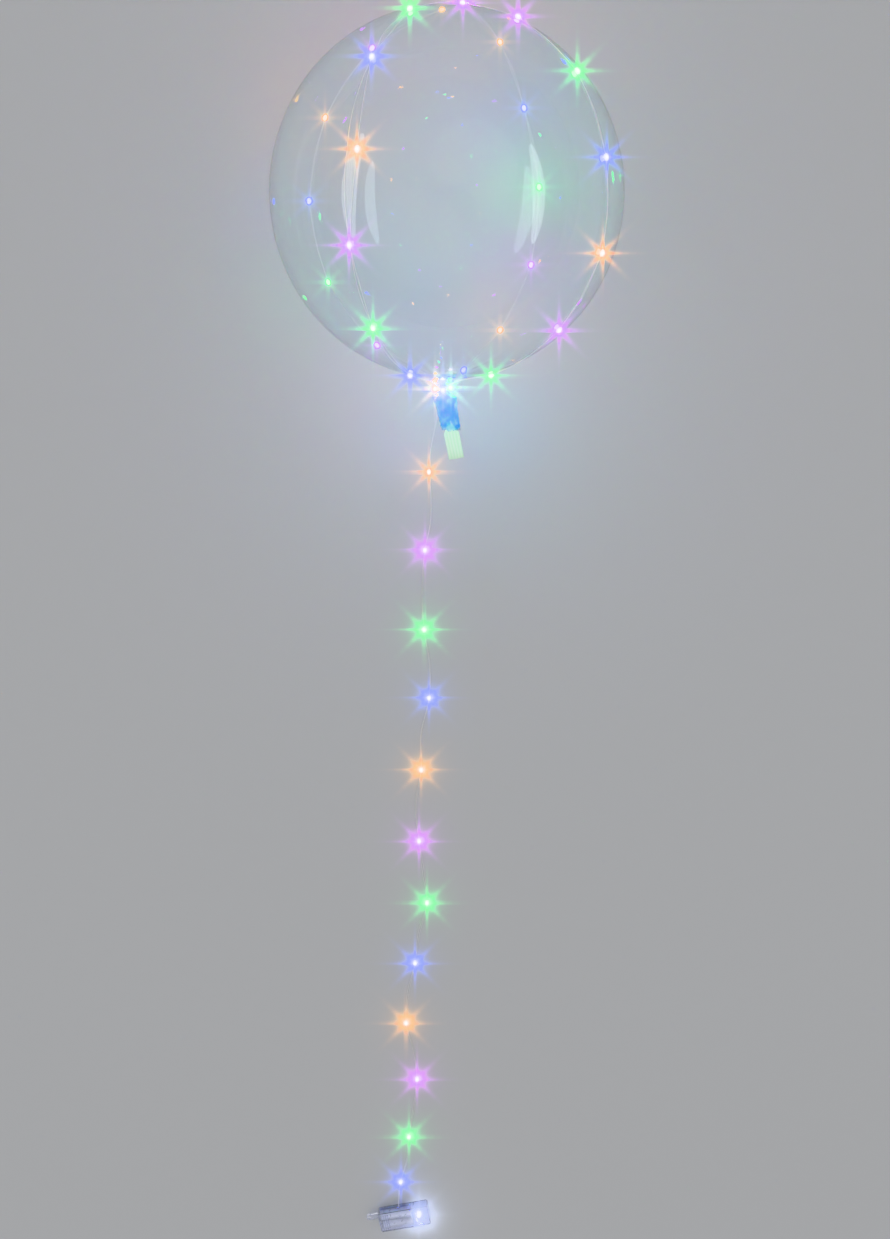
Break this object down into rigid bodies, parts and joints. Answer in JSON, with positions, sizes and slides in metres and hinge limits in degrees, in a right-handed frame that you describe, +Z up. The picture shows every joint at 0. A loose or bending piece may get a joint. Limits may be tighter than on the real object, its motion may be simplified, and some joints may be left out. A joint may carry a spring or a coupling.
{
  "type": "clear bubble balloon",
  "caption": "Clear film bubble balloon lying on its side, wound with coloured string lights that run from its tied neck along the floor to a clear battery box.",
  "frame": {"origin": "middle of the small flat spot under the balloon, on the floor it lies on", "axes": "+Z up; -Y from the balloon's middle towards its neck and along the string to the battery box; +X to the right seen with the neck towards the viewer"},
  "size_m": [0.3998, 1.7155, 0.3965],
  "materials": {
    "clear_film": "clear thin film, glossy, faint blue-green at its edge",
    "strip_plastic": "pale green, slightly translucent, satin",
    "wire": "fine tinned wire in clear lacquer",
    "clear_plastic": "clear moulded plastic",
    "cell_jacket": "plain silver jacket",
    "nickel": "nickel-plated spring steel",
    "lamp_white": "clear resin, lit white",
    "light_blue": "clear resin drop, lit blue",
    "light_green": "clear resin drop, lit green",
    "light_magenta": "clear resin drop, lit magenta",
    "light_amber": "clear resin drop, lit warm amber"
  },
  "bodies": {
    "root": {"balloon_film": "clear_film", "neck_strip": "strip_plastic", "tie_wire_turns": "wire", "front_round_wire": "wire", "side_round_wire": "wire", "cord_wire": "wire", "battery_case": "clear_plastic", "battery_lid": "clear_plastic", "battery_cell_a": "cell_jacket", "battery_cell_b": "cell_jacket", "contact_bridge": "nickel", "contact_plus": "nickel", "contact_minus": "nickel", "case_lamp": "lamp_white", "front_round_light_01": "light_blue", "front_round_light_02": "light_green", "front_round_light_03": "light_magenta", "front_round_light_04": "light_amber", "front_round_light_05": "light_blue", "front_round_light_06": "light_green", "front_round_light_07": "light_magenta", "front_round_light_08": "light_amber", "front_round_light_09": "light_blue", "front_round_light_10": "light_green", "front_round_light_11": "light_magenta", "front_round_light_12": "light_amber", "front_round_light_13": "light_blue", "side_round_light_01": "light_green", "side_round_light_02": "light_magenta", "side_round_light_03": "light_amber", "side_round_light_04": "light_blue", "side_round_light_05": "light_green", "side_round_light_06": "light_magenta", "side_round_light_07": "light_amber", "side_round_light_08": "light_magenta", "side_round_light_09": "light_amber", "side_round_light_10": "light_blue", "side_round_light_11": "light_green", "side_round_light_12": "light_magenta", "tie_light_01": "light_blue", "tie_light_02": "light_green", "tie_light_03": "light_amber", "cord_light_01": "light_amber", "cord_light_02": "light_magenta", "cord_light_03": "light_green", "cord_light_04": "light_blue", "cord_light_05": "light_amber", "cord_light_06": "light_magenta", "cord_light_07": "light_green", "cord_light_08": "light_blue", "cord_light_09": "light_amber", "cord_light_10": "light_magenta", "cord_light_11": "light_green", "cord_light_12": "light_blue"}
  },
  "joints": []
}
